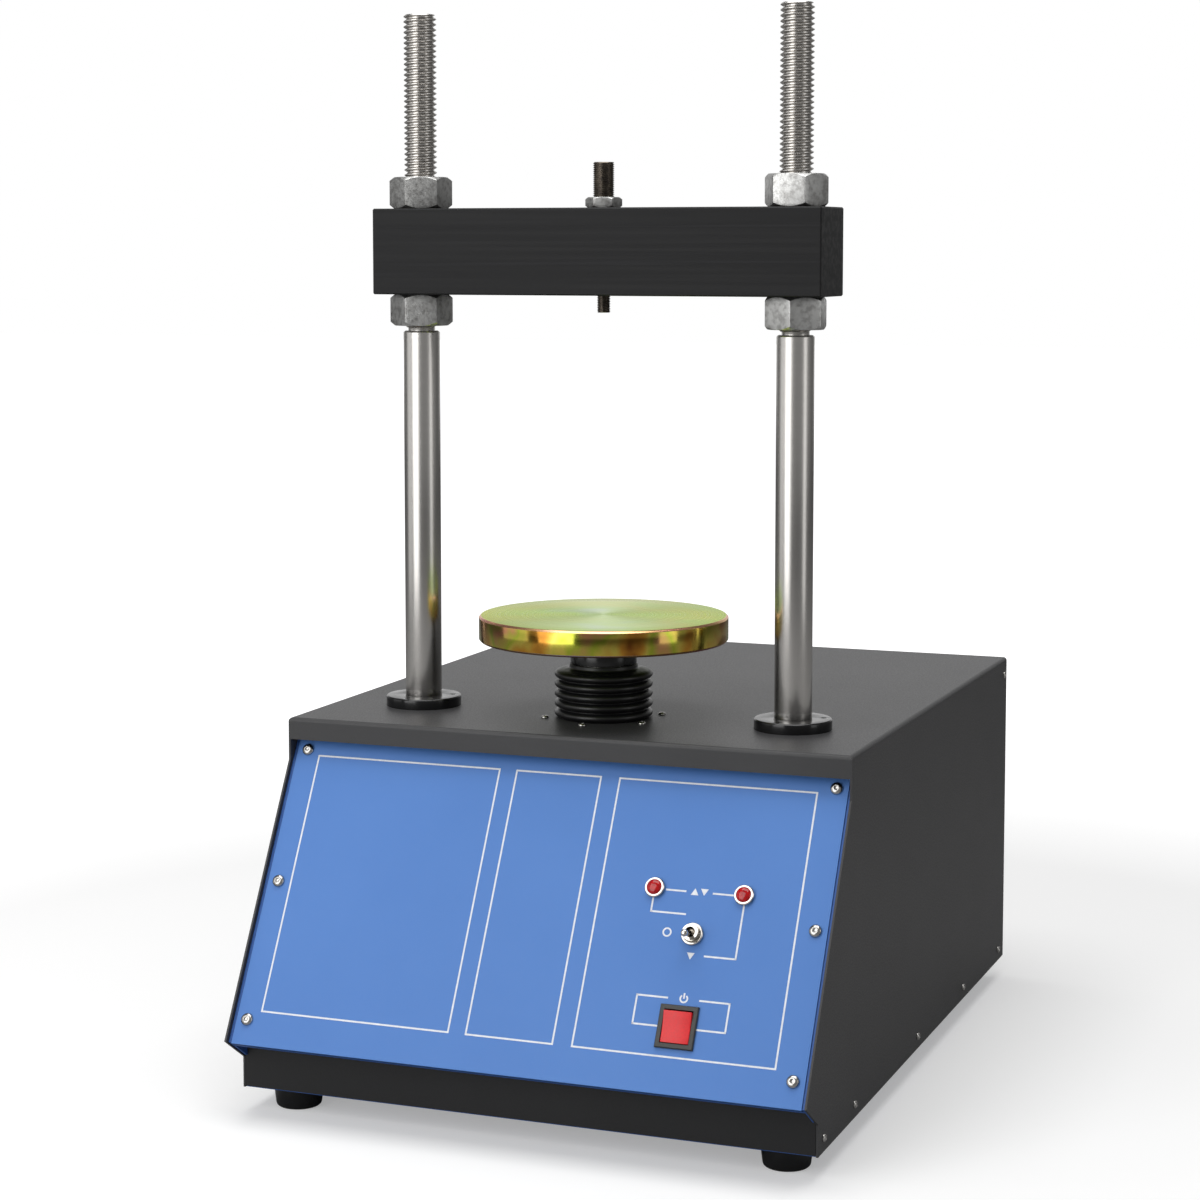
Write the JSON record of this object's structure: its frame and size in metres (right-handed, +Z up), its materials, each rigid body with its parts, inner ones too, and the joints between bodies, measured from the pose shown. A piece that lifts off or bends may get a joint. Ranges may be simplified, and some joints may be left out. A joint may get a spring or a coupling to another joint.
{
  "type": "marshall stability load frame",
  "caption": "Bench load frame: a sloping control cabinet carries threaded columns, a crosshead with a load stud, and a round platen on a sealed, motor-driven screw ram.",
  "frame": {"origin": "on the floor under the middle of the base, which is the bottom centre of the whole part", "axes": "+Z up along the columns, the control panel faces -Y, +X to the right of a user at the panel"},
  "size_m": [0.442, 0.6, 0.813],
  "materials": {
    "cover_paint": "satin dark grey powder coat",
    "skirt_paint": "satin black paint",
    "panel_paint": "satin blue paint",
    "chassis_paint": "satin blue paint",
    "bar_black": "black finish with a fine grain",
    "flange_black": "gloss black",
    "ground_steel": "ground bright steel",
    "zinc_steel": "zinc plated",
    "dark_steel": "oiled dark steel",
    "plate_steel": "milled steel plate",
    "yellow_zinc": "yellow passivated zinc",
    "gear_steel": "machined steel",
    "bush_bronze": "machined bronze",
    "housing_iron": "painted casting",
    "motor_alloy": "cast alloy",
    "rubber_black": "matte black rubber",
    "bright_chrome": "bright plated",
    "lens_red": "gloss red",
    "rocker_red": "gloss red",
    "switch_black": "black moulding",
    "gear_plastic": "grey moulding",
    "tin_can": "drawn can"
  },
  "bodies": {
    "base": {"cover": "cover_paint", "chassis_tray": "chassis_paint", "front_skirt": "skirt_paint", "front_frame": "chassis_paint", "front_panel": "panel_paint", "rear_panel": "cover_paint", "mains_inlet": "switch_black", "inlet_pins": "zinc_steel", "feet": "rubber_black", "bed_plate": "plate_steel", "bed_pillars": "ground_steel", "column_left": "ground_steel", "column_right": "ground_steel", "bed_nuts": "zinc_steel", "guide_plate": "plate_steel", "support_collars": "ground_steel", "column_flanges": "flange_black", "guide_bush": "bush_bronze", "guide_key": "gear_steel", "bellows": "rubber_black", "jack_housing": "housing_iron", "jack_bolts": "dark_steel", "thrust_bearing": "gear_steel", "hub_bush": "bush_bronze", "gearhead": "motor_alloy", "motor": "motor_alloy", "motor_bracket": "plate_steel", "lamp_bezels": "bright_chrome", "lamp_lenses": "lens_red", "toggle_body": "bright_chrome", "toggle_nut": "bright_chrome", "power_switch": "switch_black", "din_rail": "zinc_steel", "contactors": "gear_plastic", "terminal_strip": "gear_plastic", "run_capacitor": "tin_can", "switch_post": "zinc_steel", "limit_switches": "switch_black"},
    "drive": {"nut_hub": "bush_bronze", "drive_gear": "gear_steel", "hub_ring": "dark_steel"},
    "ram_head": {"ram": "ground_steel", "platen": "yellow_zinc", "trip_disc": "plate_steel"},
    "pinion": {"motor_pinion": "gear_steel"},
    "crosshead": {"crosshead": "bar_black", "load_stud": "dark_steel", "stud_nut": "zinc_steel"},
    "nut_lower_left": {"nut_lower_left": "zinc_steel"},
    "nut_lower_right": {"nut_lower_right": "zinc_steel"},
    "nut_upper_left": {"nut_upper_left": "zinc_steel"},
    "nut_upper_right": {"nut_upper_right": "zinc_steel"},
    "rocker": {"power_rocker": "rocker_red"},
    "lever": {"toggle_lever": "bright_chrome"}
  },
  "joints": [
    {"name": "drive_spin", "type": "hinge", "parent": "base", "child": "drive", "pos_m": [0, -0.103, 0.205], "axis": [0, 0, -1], "range_deg": [-720, 3600]},
    {"name": "ram_slide", "type": "slide", "parent": "base", "child": "ram_head", "axis": [0, 0, 1], "range_m": [-0.01, 0.05], "deforming": ["bellows"]},
    {"name": "motor_spin", "type": "hinge", "parent": "base", "child": "pinion", "pos_m": [0, 0.0095, 0.205], "axis": [0, 0, -1], "range_deg": [-14400, 2880]},
    {"name": "crosshead_slide", "type": "slide", "parent": "base", "child": "crosshead", "axis": [0, 0, 1], "range_m": [0, 0.11]},
    {"name": "nut_lower_left_spin", "type": "hinge", "parent": "crosshead", "child": "nut_lower_left", "pos_m": [-0.15, -0.103, 0.589], "axis": [0, 0, 1], "range_deg": [0, 9900]},
    {"name": "nut_lower_right_spin", "type": "hinge", "parent": "crosshead", "child": "nut_lower_right", "pos_m": [0.15, -0.103, 0.589], "axis": [0, 0, 1], "range_deg": [0, 9900]},
    {"name": "nut_upper_left_spin", "type": "hinge", "parent": "crosshead", "child": "nut_upper_left", "pos_m": [-0.15, -0.103, 0.678], "axis": [0, 0, 1], "range_deg": [0, 9900]},
    {"name": "nut_upper_right_spin", "type": "hinge", "parent": "crosshead", "child": "nut_upper_right", "pos_m": [0.15, -0.103, 0.678], "axis": [0, 0, 1], "range_deg": [0, 9900]},
    {"name": "rocker_tilt", "type": "hinge", "parent": "base", "child": "rocker", "pos_m": [0.12, -0.27463, 0.09932], "axis": [1, 0, 0], "range_deg": [-16, 0]},
    {"name": "lever_tilt", "type": "hinge", "parent": "base", "child": "lever", "pos_m": [0.12, -0.24451, 0.15844], "axis": [1, 0, 0], "range_deg": [-28, 0]}
  ],
  "couplings": [
    {"joint": "ram_slide", "follows": "drive_spin", "m_per_rad": 0.00079577},
    {"joint": "motor_spin", "follows": "drive_spin", "ratio": -4},
    {"joint": "nut_lower_left_spin", "follows": "crosshead_slide", "rad_per_m": 1570.8},
    {"joint": "nut_lower_right_spin", "follows": "crosshead_slide", "rad_per_m": 1570.8},
    {"joint": "nut_upper_left_spin", "follows": "crosshead_slide", "rad_per_m": 1570.8},
    {"joint": "nut_upper_right_spin", "follows": "crosshead_slide", "rad_per_m": 1570.8}
  ]
}
